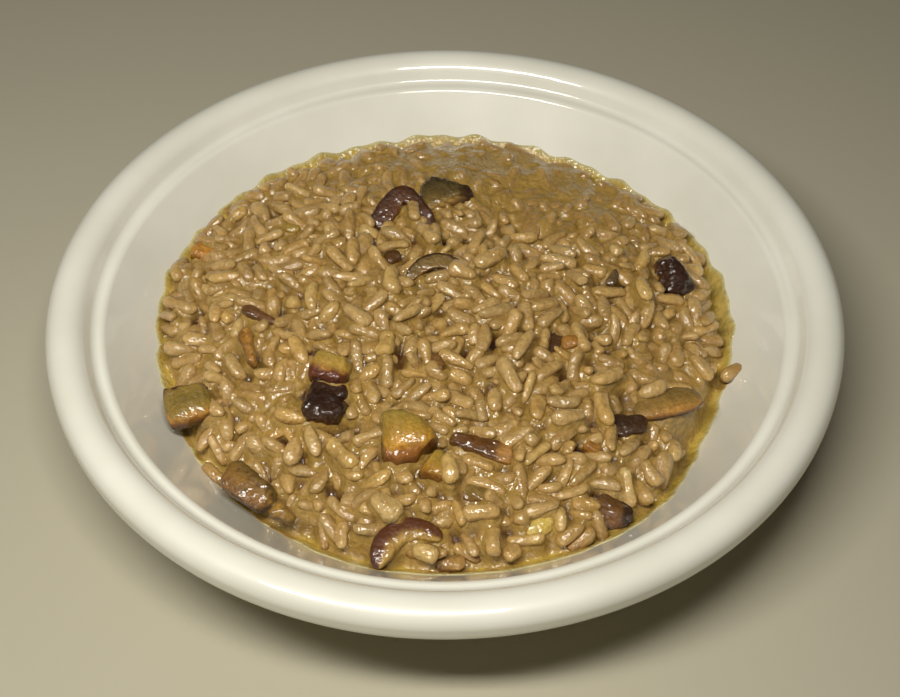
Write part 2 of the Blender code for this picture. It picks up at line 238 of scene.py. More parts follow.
def plate_section():
    """The plate's closed section: floor, wall, ledge, rolled rim, underside and foot ring.

    The roll is flatter on top than at its side: an arc of ROLL_TOP_SIZE, then from the heading
    ROLL_MEET one of ROLL_SIDE_SIZE, a short upright stretch and the same arc again underneath.
    """
    inner = inner_profile()
    shoulder = arc((LEDGE_RADIUS, LEDGE_HEIGHT - SHOULDER), SHOULDER, 139.8, 90, 16)
    wall = np.linspace(inner[-2], shoulder[0], 8)[1:-1]
    wall = np.concatenate((wall, [shoulder[0] + (wall[-1] - shoulder[0]) * 0.05]))
    fillet = arc((LEDGE_RADIUS + 0.2, LEDGE_HEIGHT + FILLET), FILLET, -90, -33, 14)
    crest = (RIM_RADIUS - ROLL_CREST_IN, RIM_HEIGHT - ROLL_TOP_SIZE)
    top = arc(crest, ROLL_TOP_SIZE, 147, ROLL_MEET, 34)
    meet = math.radians(ROLL_MEET)
    side_centre = top[-1] - ROLL_SIDE_SIZE * np.array((math.cos(meet), math.sin(meet)))
    side = arc(side_centre, ROLL_SIDE_SIZE, ROLL_MEET, 0, 18)[1:]
    below = arc(side_centre - (0, 1.5), ROLL_SIDE_SIZE, 0, -95, 20)
    under_wall = np.array([(p[0] + UNDERSIDE_OUT, p[1] - UNDERSIDE_DROP) for p in inner[-2::-1]])
    under_wall = under_wall[under_wall[:, 0] > FOOT_OUTER + 1.5]
    corner = (WALL_TOP[0] + UNDERSIDE_OUT, WALL_TOP[1] - UNDERSIDE_DROP)
    join = corner + (under_wall[0] - corner) * 0.15
    under_rim = curve(below[-1], (corner[0] - 0.3, below[-1][1] - 0.2), join, 9)[1:]
    foot_outer = curve(under_wall[-1], (FOOT_OUTER + 0.3, 5.2), (FOOT_OUTER, 0.9), 8)[1:]
    foot_face = np.concatenate((
        arc((FOOT_OUTER - FOOT_FILLET, FOOT_FILLET), FOOT_FILLET, 0, -90, 5)[1:],
        arc((FOOT_INNER + FOOT_FILLET, FOOT_FILLET), FOOT_FILLET, -90, -180, 5),
    ))
    well = curve((FOOT_INNER, 1.6), (FOOT_INNER - 0.2, FOOT_WELL), (FOOT_INNER - 3.2, FOOT_WELL), 7)
    floor_rings = np.stack((np.linspace(8, FLOOR_RADIUS - 4, 6), np.full(6, FLOOR_HEIGHT)), -1)
    under_rings = np.stack((np.linspace(FOOT_INNER - 10, 8, 6), np.full(6, FOOT_WELL)), -1)
    return np.concatenate((
        [(0.0, FLOOR_HEIGHT)], floor_rings, inner[:-1], wall, shoulder, fillet, top, side, below,
        under_rim, under_wall, foot_outer, foot_face, well, under_rings, [(0.0, FOOT_WELL)]))


def turned(section, segments):
    """Points of a section turned about z, with single points at both poles, and its faces."""
    angle = np.arange(segments) * 2 * math.pi / segments
    body = section[1:-1]
    ring = np.stack((
        body[:, None, 0] * np.cos(angle),
        body[:, None, 0] * np.sin(angle),
        np.broadcast_to(body[:, None, 1], (len(body), segments))), -1).reshape(-1, 3)
    points = np.concatenate(([(0, 0, section[0][1])], ring, [(0, 0, section[-1][1])]))
    side = np.arange(segments)
    after = (side + 1) % segments
    last = len(points) - 1
    top = np.stack((np.zeros_like(side), 1 + side, 1 + after), -1)
    base = last - segments
    bottom = np.stack((np.full_like(side, last), base + after, base + side), -1)
    quads = tube_quads(len(body), segments, start=1)[:, ::-1]
    return points, quads, np.concatenate((top, bottom))


# --- heap surface ----------------------------------------------------------------------------
def around(values, angle):
    """A smooth closed curve through evenly spaced values: cubic Hermite with neighbours' slopes."""
    values = np.array(values)
    count = len(values)
    place = np.mod(angle / (2 * math.pi) * count, count)
    i = np.floor(place).astype(int) % count
    t = place - np.floor(place)
    before, here = values[i - 1], values[i]
    after, beyond = values[(i + 1) % count], values[(i + 2) % count]
    rise, next_rise = (after - before) / 2, (beyond - here) / 2
    bent = (2 * t ** 3 - 3 * t ** 2 + 1) * here + (t ** 3 - 2 * t ** 2 + t) * rise
    return bent + (3 * t ** 2 - 2 * t ** 3) * after + (t ** 3 - t ** 2) * next_rise


def shore_radius(angle):
    """Where the liquor ends on the wall: the SHORE curve with two small ripples on it."""
    return around(SHORE, angle) + 0.3 * np.sin(31 * angle + 0.6) + 0.25 * np.sin(53 * angle)


def spots(places, x, y):
    """For each x, y, radius, amount: its amount, and the falloff exp(-(distance / radius)^2)."""
    for spot_x, spot_y, radius, amount in places:
        yield amount, np.exp(-((x - spot_x) ** 2 + (y - spot_y) ** 2) / radius ** 2)


def heap_height(x, y):
    """Where the top layer of rice reaches: a dome to one grain above the wall, plus the swells.

    The dome falls from the crown to its edge by (1 - share^2.3)^0.85, share being the radius over
    the edge's, and the swells fade out towards the edge.
    """
    angle = np.arctan2(y, x)
    edge = shore_radius(angle) - 1.5
    share = np.minimum(np.hypot(x, y) / edge, 1.0)
    base = plate_height(edge) + 2.2
    height = base + (HEAP_CROWN - base) * (1 - share ** 2.3) ** 0.85
    fade = 1 - share ** 6
    for rise, falloff in spots(HEAP_SWELLS, x, y):
        height = height + rise * fade * falloff
    return height


def wetness(x, y):
    """How wet each place is, 0 to 1: the wet places added up, and a wet band along the edge."""
    share = np.hypot(x, y) / shore_radius(np.arctan2(y, x))
    wet = 0.08 * smooth(0.45, 0.75, share) + 0.35 * smooth(0.86, 1.0, share)
    for amount, falloff in spots(WET_PLACES, x, y):
        wet = wet + amount * falloff
    return np.clip(wet, 0.0, 1.0)


def map_axes():
    """x and y (mm) of every cell of the height map, as two square arrays, rows running along y."""
    line = np.linspace(-MAP_HALF, MAP_HALF, MAP_SIZE)
    return np.meshgrid(line, line)


def at(height_map, x, y):
    """Bilinear value of a map at x, y."""
    place = np.clip((np.stack((y, x)) + MAP_HALF) / MAP_CELL, 0, MAP_SIZE - 1.001)
    r, c = corner = place.astype(int)
    v, u = place - corner
    low = height_map[r, c] * (1 - u) + height_map[r, c + 1] * u
    high = height_map[r + 1, c] * (1 - u) + height_map[r + 1, c + 1] * u
    return low * (1 - v) + high * v


def nearest_cell(x, y):
    """Row and column of the map's cell nearest to each x, y."""
    place = np.stack((y, x)) + MAP_HALF
    return tuple(np.clip(np.rint(place / MAP_CELL).astype(int), 0, MAP_SIZE - 1))


def raise_map(height_map, points):
    """Lift the cells under a dense set of points to their heights."""
    np.maximum.at(height_map, nearest_cell(points[:, 0], points[:, 1]), points[:, 2])


def blurred(height_map, sigma):
    """Gaussian blur of a map by its sigma in mm, rows then columns."""
    reach = int(3 * sigma / MAP_CELL) + 1
    steps = np.arange(-reach, reach + 1) * MAP_CELL
    weights = np.exp(-steps ** 2 / (2 * sigma ** 2))
    weights /= weights.sum()
    for axis in (0, 1):
        total = np.zeros_like(height_map)
        for k, weight in enumerate(weights):
            total += weight * np.roll(height_map, k - reach, axis)
        height_map = total
    return height_map


# --- mushroom pieces -------------------------------------------------------------------------
# turn, lean and roll place a piece, and size is its length, width and thickness. Its midline bends
# by arc degrees, sharply at the middle where fold is small. taper narrows it, square and ends say
# how blunt its section and its ends are, and belly raises its back. cuts is how many flat knife cuts
# it has and how deep they may go, rough the height of its bumps, pores how much it is freckled and
# streaks how strongly lines run along it. Most pieces keep close to their CAD solid, and shift moves
# the few that lie a little off it. paint goes round the section: heading in degrees and colour, 0 on
# the far (left) side, 90 on top, 180 on the near side, -90 underneath. tip colours the far end.
# PLAIN_PIECE is what a piece has where its own entry says nothing.
PLAIN_PIECE = dict(
    lean=6, roll=0, arc=8, fold=1.0, taper=0.2, square=3.4, belly=0.2, cuts=(4, 0.5), rough=0.2,
    pores=0.3, streaks=0.1, shift=(0, 0, 0), slot="amber_flesh")


def small_bit(place, turn, size, far, near):
    """What a bit too small for a CAD solid has of its own: place, size and the colours of its sides. Some
    bits are only dark lumps of painted shade.
    """
    return dict(place=place, turn=turn, size=size, paint=((0, far), (180, near)))


PIECES = {
    "mushroom_folded_cap": dict(
        turn=3, lean=24, size=(27, 5.6, 3.2), shift=(-0.8, -2.0, -0.5), arc=-112, fold=0.16,
        taper=0.45, square=5.0, belly=0.0, cuts=(0, 0), rough=0.16, pores=0.2, streaks=0.25,
        slot="dark_cuticle",
        paint=((-90, "#5a3c1c"), (0, "#3a200c"), (60, "#45260e"), (110, "#563014"), (180, "#64401c"))),
    "mushroom_gill_wedge": dict(
        turn=2, lean=14, roll=-8, size=(16.5, 9.5, 4.6), shift=(-1.6, -2.0, -0.4), taper=0.85,
        square=4.5, belly=0.8, cuts=(4, 1.2), streaks=0.8, tip="#3a2410", slot="olive_flesh",
        paint=((-90, "#543a18"), (10, "#3c2c16"), (50, "#4e4022"), (100, "#5c4a26"), (128, "#7c6430"),
               (145, "#a88446"), (175, "#6c4824"))),
    "mushroom_arched_slice": dict(
        turn=0, lean=20, size=(22, 4.8, 2.8), shift=(0.0, -2.6, -0.6), arc=-112, fold=0.8, taper=0.15,
        square=6.5, ends=2.4, belly=0.0, cuts=(0, 0), rough=0.1, pores=0.15, streaks=0.3,
        slot="olive_flesh",
        paint=((-90, "#5a3a14"), (0, "#2e1a08"), (53, "#3a220c"), (60, "#6c5426"), (110, "#7c6230"),
               (150, "#7c5826"), (180, "#4a2e12"))),
    "mushroom_dark_knob": dict(
        turn=-64, lean=26, size=(13.5, 9.0, 6.4), arc=-20, taper=-0.35, square=2.4, belly=1.0,
        cuts=(4, 1.4), rough=0.4, slot="dark_cuticle",
        paint=((-90, "#4c2a12"), (0, "#2a180a"), (90, "#32190a"), (150, "#3e220e"), (180, "#5e3c1a"))),
    "mushroom_dark_strip": dict(
        turn=-30, lean=16, size=(11.5, 3.2, 2.4), arc=6, square=3.6, cuts=(3, 0.4), rough=0.15,
        pores=0.1, streaks=0.3, slot="dark_cuticle",
        paint=((-90, "#5a3717"), (0, "#5a3a1b"), (90, "#684422"), (180, "#4c2f12"))),
    "mushroom_amber_strip": dict(
        turn=-75, lean=14, size=(12.5, 3.4, 3.0), arc=14, taper=0.3, square=3.0, belly=0.3,
        cuts=(3, 0.5), rough=0.25, pores=0.5, streaks=0.3,
        paint=((-90, "#644113"), (0, "#94682c"), (90, "#a5742f"), (180, "#644115"))),
    "mushroom_olive_chunk": dict(
        turn=16, roll=6, size=(13.0, 12.0, 5.4), arc=4, taper=0.12, square=5.5, belly=0.6,
        cuts=(5, 1.0), rough=0.25, pores=0.25, slot="olive_flesh",
        paint=((-90, "#46300f"), (0, "#3a1f0b"), (54, "#42220e"), (60, "#8a7032"), (95, "#7e682a"),
               (122, "#8f7230"), (138, "#ae7c34"), (160, "#9c6826"), (185, "#4a2c14"))),
    "mushroom_yellow_chunk": dict(
        turn=-20, lean=10, roll=4, size=(11.0, 9.0, 6.0), arc=4, taper=0.1, square=5.0, belly=0.5,
        cuts=(5, 0.9), rough=0.25, pores=0.2,
        paint=((-90, "#4a2a10"), (0, "#87672c"), (60, "#a18438"), (96, "#ab8637"), (108, "#a8752f"),
               (118, "#5e2c12"), (200, "#46200e"))),
    "mushroom_black_cap": dict(
        turn=-9, lean=4, size=(13.0, 9.8, 4.8), arc=-22, taper=0.1, square=2.8, belly=1.0,
        cuts=(4, 1.2), rough=0.28, pores=0.1, slot="dark_cuticle",
        paint=((-90, "#4a2c12"), (0, "#2e180c"), (90, "#2a150a"), (150, "#3a220e"), (180, "#4a2c14"))),
    "mushroom_amber_chunk": dict(
        turn=6, lean=4, roll=4, size=(15.0, 13.8, 8.8), arc=4, taper=0.16, square=7.0, belly=0.8,
        cuts=(9, 2.4),
        paint=((-90, "#684415"), (0, "#74602c"), (50, "#8f7834"), (85, "#a9822f"), (118, "#b8862f"),
               (132, "#96601f"), (150, "#7e4c18"), (200, "#643a0f"))),
    "mushroom_small_chunk": dict(
        turn=-30, roll=-6, size=(9.4, 8.2, 6.0), shift=(1.2, 2.8, 0.8), arc=4, taper=0.15, square=6.0,
        belly=0.3, cuts=(6, 1.4), rough=0.16, pores=0.2,
        paint=((-90, "#6e4a18"), (0, "#84702f"), (90, "#a08030"), (122, "#ac802f"), (150, "#86591c"),
               (200, "#5e3a12"))),
    "mushroom_brown_slice": dict(
        turn=-20, lean=14, size=(18.0, 4.8, 2.8), arc=-12, taper=-0.1, square=5.0, belly=0.4,
        cuts=(4, 0.7), rough=0.25, streaks=0.25, tip="#a8783a", slot="dark_cuticle",
        paint=((-90, "#644113"), (0, "#5a3511"), (90, "#684013"), (130, "#5c3812"), (180, "#6c4416"))),
    "mushroom_tan_slice": dict(
        turn=17, roll=-4, size=(19.5, 8.4, 2.9), arc=-12, taper=-0.1, square=5.0, ends=3.0, belly=0.4,
        cuts=(3, 0.5), streaks=0.25, slot="tan_flesh",
        paint=((-90, "#4a2e16"), (0, "#4c3218"), (50, "#7c6230"), (95, "#8c6d34"), (125, "#a07838"),
               (140, "#b07c36"), (165, "#7c5224"), (200, "#3c2414"))),
    "mushroom_brown_cap": dict(
        turn=-6, lean=14, size=(12.0, 8.4, 3.8), shift=(0.0, 0.4, -0.8), arc=10, taper=0.45,
        square=4.6, belly=0.9, cuts=(5, 1.4), pores=0.4, streaks=0.15, tip="#33200f",
        slot="dark_cuticle",
        paint=((-90, "#4a2e14"), (0, "#452a12"), (80, "#66441e"), (130, "#744c24"), (180, "#4c3018"))),
    "mushroom_mottled_cap": dict(
        turn=-38, lean=14, size=(17.0, 8.6, 3.6), shift=(0.4, 0.6, -1.0), arc=10, taper=0.15,
        square=5.0, belly=0.7, cuts=(5, 1.2), rough=0.14, pores=0.9,
        paint=((-90, "#4a2d0d"), (0, "#46300f"), (40, "#5f471c"), (90, "#8a652b"), (130, "#7c562a"),
               (160, "#523414"), (190, "#3c2609"))),
    "mushroom_amber_scrap": dict(
        turn=-36, size=(7.6, 4.2, 3.0), taper=0.4, square=2.8, cuts=(3, 0.5), rough=0.3, pores=0.6,
        paint=((-90, "#5a3c18"), (0, "#7a5624"), (90, "#94702f"), (180, "#6a4a20"))),
    "mushroom_red_crescent": dict(
        turn=26, lean=10, size=(23.0, 6.8, 4.6), shift=(-0.5, -3.2, -1.0), arc=-118, fold=0.8,
        taper=0.1, ends=2.8, belly=0.0, cuts=(0, 0), rough=0.14, pores=0.2, slot="dark_cuticle",
        paint=((-90, "#6a4a24"), (0, "#42200e"), (60, "#542c14"), (98, "#603618"), (112, "#9c7838"),
               (135, "#b08c48"), (180, "#96763a"))),
    "mushroom_olive_bit": dict(
        turn=-14, lean=10, size=(8.0, 4.6, 3.2), square=3.0, belly=0.3, cuts=(3, 0.5), rough=0.25,
        slot="olive_flesh",
        paint=((-90, "#5a4420"), (0, "#6b5328"), (90, "#84692f"), (180, "#6e4c24"))),
    "mushroom_left_bit": dict(
        turn=-20, lean=8, size=(8.0, 5.0, 3.4), square=2.8, belly=0.3, cuts=(3, 0.6), rough=0.3,
        pores=0.5,
        paint=((-90, "#734b17"), (0, "#a1702f"), (90, "#bf8636"), (180, "#8c5b18"))),
    "onion_piece": dict(
        turn=35, lean=14, size=(9.0, 6.2, 2.4), arc=10, taper=0.1, square=2.6, belly=0.7,
        cuts=(2, 0.4), rough=0.15, pores=0.0, streaks=0.25, slot="onion_flesh",
        paint=((-90, "#8a7030"), (0, "#a88c40"), (90, "#c4aa55"), (180, "#a8883c"))),
}
BITS = {
    # The first three bits are dark lumps laid low in hollows of the heap as painted shade, not pieces of
    # mushroom.
    "dark_gap_bit": small_bit((-31.2, -31.2, 31.6), -12, (11.0, 6.0, 3.0), "#3a2010", "#2a170b"),
    "dark_shadow_bit": small_bit((49.0, -40.5, 27.4), 10, (10.0, 6.5, 2.6), "#33200f", "#4a2f16"),
    "dark_crown_bit": small_bit((30.0, -15.0, 30.6), 75, (10.0, 5.5, 2.6), "#3a2412", "#5a3a1c"),
    "dark_square": small_bit((-15.0, 16.9, 34.4), 30, (4.8, 4.4, 2.4), "#4a2a0d", "#573913"),
    "orange_shred": small_bit((38.2, -50.3, 30.2), -40, (5.0, 3.4, 2.4), "#a8742f", "#835517"),
    "orange_crumb": small_bit((34.4, -16.2, 33.6), 10, (5.4, 3.8, 2.6), "#925f1a", "#a8783a"),
    "grey_curl": small_bit((47.6, 10.3, 32.4), 65, (6.4, 2.8, 2.0), "#6a5636", "#584024"),
    "yellow_crumb": small_bit((-44.8, 33.2, 30.4), -15, (5.2, 3.8, 2.4), "#a88c38", "#94752e"),
    "brown_shred": small_bit((-2.0, -24.5, 35.2), -60, (6.0, 2.6, 2.0), "#6e4a20", "#7a5424"),
}
SHAPES = {name: PLAIN_PIECE | shape for name, shape in (PIECES | BITS).items()}
PIECE_STATIONS = 60
PIECE_SIDES = 48
MIDLINE_STEPS = 800
# Bumps on a piece: their size in mm, and their share of its roughness.
PIECE_BUMPS = ((2.6, 1.5), (1.3, 1.1), (0.6, 0.4))


def rotation(axis, degrees):
    """Rotation matrix about one of the three axes."""
    c, s = math.cos(math.radians(degrees)), math.sin(math.radians(degrees))
    i, j = {"X": (1, 2), "Y": (2, 0), "Z": (0, 1)}[axis]
    matrix = np.eye(3)
    matrix[i, i] = matrix[j, j] = c
    matrix[j, i], matrix[i, j] = s, -s
    return matrix


def swept_piece(name, shape):
    """A rounded bar along a bent midline, cut and bumped, and the colours of its skin and flesh.

    The midline turns by arc * tanh(u / fold), u from -1 to 1 along it. Across it the section is a
    superellipse, cos and sin to the power 2 / square, shrinking to the ends by (1 - |u|^n)^0.5.
    """
    fine = np.linspace(-1, 1, MIDLINE_STEPS + 1)
    length, width, thick = shape["size"]
    heading = math.radians(shape["arc"]) / 2 * np.tanh(fine / shape["fold"]) / math.tanh(1 / shape["fold"])
    step = length / MIDLINE_STEPS
    between = (heading[1:] + heading[:-1]) / 2
    run = np.concatenate(([0.0], np.cumsum(np.cos(between)) * step))
    rise = np.concatenate(([0.0], np.cumsum(np.sin(between)) * step))
    u = np.sin(np.linspace(-math.pi / 2, math.pi / 2, PIECE_STATIONS + 2)[1:-1])
    theta = np.arange(PIECE_SIDES) * 2 * math.pi / PIECE_SIDES
    x, y = np.interp(u, fine, run)[:, None], np.interp(u, fine, rise)[:, None]
    way = np.interp(u, fine, heading)[:, None]
    power = 2 / shape["square"]
    across = np.sign(np.cos(theta)) * np.abs(np.cos(theta)) ** power
    upward = np.sign(np.sin(theta)) * np.abs(np.sin(theta)) ** power
    ends = ((1 - np.abs(u) ** shape.get("ends", 2 + shape["square"])) ** 0.5)[:, None]
    half_width = width / 2 * (1 - shape["taper"] * u[:, None] / 1.2) * ends
    half_thick = thick / 2 * ends ** 0.8
    side = across * half_width
    bulge = shape["belly"] * (1 - u[:, None] ** 2) * (1 - across ** 2 * 0.6)
    grid = np.stack((x - side * np.sin(way), y + side * np.cos(way), upward * half_thick + bulge), -1)
    first = np.array([[run[0], rise[0], 0.0]])
    last = np.array([[run[-1], rise[-1], 0.0]])
    points = np.concatenate((first, grid.reshape(-1, 3), last))
    midline = np.repeat(np.stack((x[:, 0], y[:, 0], 0 * u), -1), PIECE_SIDES, axis=0)
    seed = sum(map(ord, name))
    outward = points - np.concatenate((first, midline, last))
    outward /= np.maximum(np.linalg.norm(outward, axis=1, keepdims=True), 0.3)
    points = knife_cuts(points, shape["cuts"], np.random.default_rng(seed))
    bump = sum(lumps(points, size, seed + k) * share for k, (size, share) in enumerate(PIECE_BUMPS))
    groove = np.sin(points[:, 1] * 5.2 + 2.5 * lumps(points, 2.5, seed + 6))
    points = points + outward * (bump * shape["rough"] + 0.25 * shape["streaks"] * groove)[:, None]

    angle = np.degrees(np.arctan2(*(
        np.concatenate(([0.5], np.tile(part, PIECE_STATIONS), [0.5])) for part in (upward, across))))
    far = np.concatenate(([-1.0], np.repeat(u, PIECE_SIDES), [1.0]))
    tint = piece_tint(shape, points, angle, far, groove, seed)

    turn = rotation("X", shape["lean"]) @ rotation("Z", shape["turn"]) @ rotation("X", shape["roll"])
    points = points @ turn.T
    if "place" in shape:
        middle = np.array(shape["place"])
    else:
        low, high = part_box(name)
        middle = np.array((low + high) / 2) / MM
    points += middle + shape["shift"] - (points.max(0) + points.min(0)) / 2
    return points, tint


def piece_tint(shape, points, angle, far, groove, seed):
    """Colours of a piece: its paint and its tip, darkened by mottling, freckles and lines.

    angle is each point's heading round the section, and far is its u along the midline.
    """
    angle = angle + 7 * lumps(points, 2.0, seed + 3) + 5 * lumps(points, 0.9, seed + 7)
    tint = painted(shape["paint"], angle)
    if "tip" in shape:
        share = smooth(0.35, 0.75, far + 0.15 * lumps(points, 2.0, seed + 8))
        tint = blend(tint, linear(shape["tip"]), share)
    mottle = 0.5 + 0.5 * lumps(points, 2.2, seed + 4)
    freckle = smooth(0.15, 0.75, lumps(points, 0.8, seed + 5) + 0.3 * mottle)
    shade = (0.8 + 0.4 * mottle) * (1 - 0.55 * shape["pores"] * freckle)
    shade = shade * (1 - 0.5 * shape["streaks"] * smooth(0.2, 1.0, groove))
    return tint * shade[:, None]


def knife_cuts(points, cuts, rng):
    """Flatten a shape on a few planes at random headings, as a knife leaves it."""
    count, depth = cuts
    for _ in range(count):
        heading, rise = rng.uniform(0, 2 * math.pi), rng.uniform(0.0, 1.0)
        level = math.cos(rise)
        normal = np.array((math.cos(heading) * level, math.sin(heading) * level, math.sin(rise)))
        reach = points @ normal
        over = np.maximum(reach - (reach.max() - rng.uniform(0.4, 1.0) * depth), 0.0)
        points = points - normal * over[:, None]
    return points


def painted(paint, angle):
    """Colours round a section from its paint list, blended from one heading to the next."""
    headings = np.array([heading for heading, _ in paint], dtype=float)
    colours = np.array([linear(colour) for _, colour in paint])
    headings = np.concatenate((headings[-1:] - 360, headings, headings[:1] + 360))
    colours = np.concatenate((colours[-1:], colours, colours[:1]))
    place = np.mod(angle - headings[1], 360) + headings[1]
    return np.stack([np.interp(place, headings, colours[:, k]) for k in range(3)], -1)


@functools.lru_cache(maxsize=None)
def pieces():
    """Every mushroom and onion piece and every small bit: name, points and colours."""
    return {name: swept_piece(name, shape) for name, shape in SHAPES.items()}


def solid_map(names):
    """Height map of the named pieces alone, far below zero where there are none."""
    made = np.full((MAP_SIZE, MAP_SIZE), -99.0)
    for name in names:
        raise_map(made, pieces()[name][0])
    return made


def capped_tube(rings, sides, start=0):
    """Quads and triangles of a closed tube: a pole, rings x sides points, and the other pole."""
    quads = tube_quads(rings, sides, start + 1)
    side = np.arange(sides)
    after = (side + 1) % sides
    last = start + 1 + rings * sides
    first_cap = np.stack((np.full_like(side, start), start + 1 + after, start + 1 + side), -1)
    last_cap = np.stack((np.full_like(side, last), last - sides + side, last - sides + after), -1)
    return quads, np.concatenate((first_cap, last_cap))


# --- rice ------------------------------------------------------------------------------------
GRAIN_RINGS = 7
GRAIN_SIDES = 8
# The grains that catch the eye lie on top, each at a place of its own: x, y, heading in degrees,
# length, and how pale it is from 0 to 1.
SET_GRAINS = (
    (-9, 34, -85, 9.0, 0.6), (-15, 5, -88, 10.5, 0.97), (5, 8, -25, 8.5, 0.6), (13, 14, 35, 11.0, 0.7),
    (-16, -19, -100, 9.0, 0.98), (17, -30, -65, 12.0, 0.8), (21, -20, 60, 11.0, 0.7),
    (-24, -9, -45, 10.0, 0.8), (-10, -9, 35, 10.0, 0.7), (-64, -31, -40, 12.0, 0.6),
    (-27, -52, -50, 11.5, 0.98), (-20, -48, 15, 9.0, 0.8), (-40, -18, -60, 10.5, 0.9),
    (-61, -48, -35, 11.5, 0.8), (-5, 23, -60, 10.5, 0.6), (80, -15, 30, 7.5, 0.8),
    (56, 5, -80, 8.5, 0.98), (42, -38, -75, 11.5, 0.9), (44, -27, 35, 11.0, 0.9), (56, -30, 30, 9.0, 0.7),
    (71, -17, -55, 9.5, 0.5), (61, -45, -100, 8.5, 0.97), (32, -44, 20, 9.5, 0.8),
    (37, -14, -70, 10.0, 0.6),
    (-15, -69, -40, 9.5, 0.96), (1, -60, -85, 9.0, 0.95), (9, -71, 5, 9.5, 0.7), (24, -69, 10, 10.0, 0.8),
    (-5, -80, -20, 7.0, 0.97), (12, -78, -90, 8.0, 0.7),
    (-41, -39, -15, 9.5, 0.9), (-35, -47, -75, 10.0, 0.8), (-40, -48, -105, 10.0, 0.75),
)

# Each pass over the bed: how many of a grain's contact points may sink into its neighbours, the
# least hollow worth a grain, and how proud of the dome a grain may stand (mm).
PASSES = ((3, 0.7, 1.8), (8, 0.8, 1.4))
SET_GRAIN_PRESSED = 6
MOST_GRAINS = 9000
HEADINGS_TRIED = 20
TILTS_TRIED = (-9, -3, 3, 9)
# The need of a cell that takes no more grains.
CLOSED = -1e3
# The core lies this far under the dome, which is uneven, and a piece that comes within PIECE_COVER
# of the dome takes no grains (mm).
CORE_DEPTH = 10.0
DOME_UNREST = 1.1
PIECE_COVER = 4.5
# What a pose costs beside its height (mm): by chance, lying on a piece, and passing the kerb. And
# the most of a grain that may lie on a piece.
COST_CHANCE, COST_ON_PIECE, COST_OUTSIDE = 0.5, 4.0, 50.0
MOST_ON_PIECE = 0.35
# How far inside the shore a grain ends (mm): KERB_DRY, and KERB_WET more where it is wet. How far
# inside it a grain is centred: MARGIN, with MARGIN_BAND more where the clear liquor is broad, and
# MARGIN_UNEVEN more or less.
KERB_DRY, KERB_WET = 0.8, 3.4
MARGIN, MARGIN_BAND, MARGIN_UNEVEN = 4.4, 2.6, 1.6


def grain_sizes(rng, count, length, width):
    """Random sizes: length, half width, half thickness, bend, end fullness, chalkiness.

    One grain in ten is broken: shorter, with blunter ends.
    """
    long = np.clip(rng.normal(length, 1.0, count), 7.0, 12.4)
    broken = rng.random(count) < 0.1
    long = np.where(broken, long * rng.uniform(0.5, 0.75, count), long)
    half_width = np.clip(rng.normal(width / 2, 0.22, count), 1.5, 2.5)
    half_thick = half_width * rng.uniform(0.78, 0.95, count)
    bend = np.radians(rng.normal(0, 26, count))
    full = np.where(broken, rng.uniform(4.0, 7.0, count), rng.uniform(3.2, 6.0, count))
    chalk = rng.random(count)
    return np.stack((long, half_width, half_thick, bend, full, chalk), -1)


def grain_spine(size, steps):
    """Points along a bent grain's midline in its own frame, centred, with its radii there."""
    t = np.linspace(-1, 1, steps)
    heading = size[3] / 2 * t
    half = size[0] / 2 - 0.6 * size[1]
    x = t * half * np.cos(heading / 2)
    y = t * half * np.sin(heading / 2)
    y = y - y.mean()
    shrink = (1 - np.abs(t * half / (size[0] / 2)) ** size[4]) ** 0.5
    return np.stack((x, y, np.zeros_like(x)), -1), size[1] * shrink, size[2] * shrink


def contact_points(size, roll, heading, tilt, place_x, place_y):
    """x, y, z of points under a grain, a row for each heading and tilt, z from the grain's middle.

    They lie along its midline and along its two flanks, 0.6 of the way out.
    """
    spine, radii, thicks = grain_spine(size, 7)
    spine = spine @ rotation("X", roll).T
    flank = np.array((-0.6, 0.0, 0.6))
    across = (spine[:, 1, None] + radii[:, None] * flank).ravel()[None]
    along = np.repeat(spine[:, 0, None], 3, 1).ravel()[None]
    drop = (spine[:, 2, None] - thicks[:, None] * 0.7 * np.sqrt(1 - flank ** 2)).ravel()[None]
    level = along * np.cos(tilt)[:, None]
    cosine, sine = np.cos(heading)[:, None], np.sin(heading)[:, None]
    x = place_x + level * cosine - across * sine
    y = place_y + level * sine + across * cosine
    return x, y, along * np.sin(tilt)[:, None] + drop


def grain_roof(size, turn, place, x, y):
    """Height of a grain's top over each cell, as flat balls along its midline, -99 beside it."""
    spine, radii, thicks = grain_spine(size, 9)
    world = spine @ turn.T + place
    away = (x[..., None] - world[:, 0]) ** 2 + (y[..., None] - world[:, 1]) ** 2
    away = away / np.maximum(radii, 0.3) ** 2
    return np.where(away < 1, world[:, 2] + thicks * np.sqrt(np.maximum(1 - away, 0)), -99).max(-1)


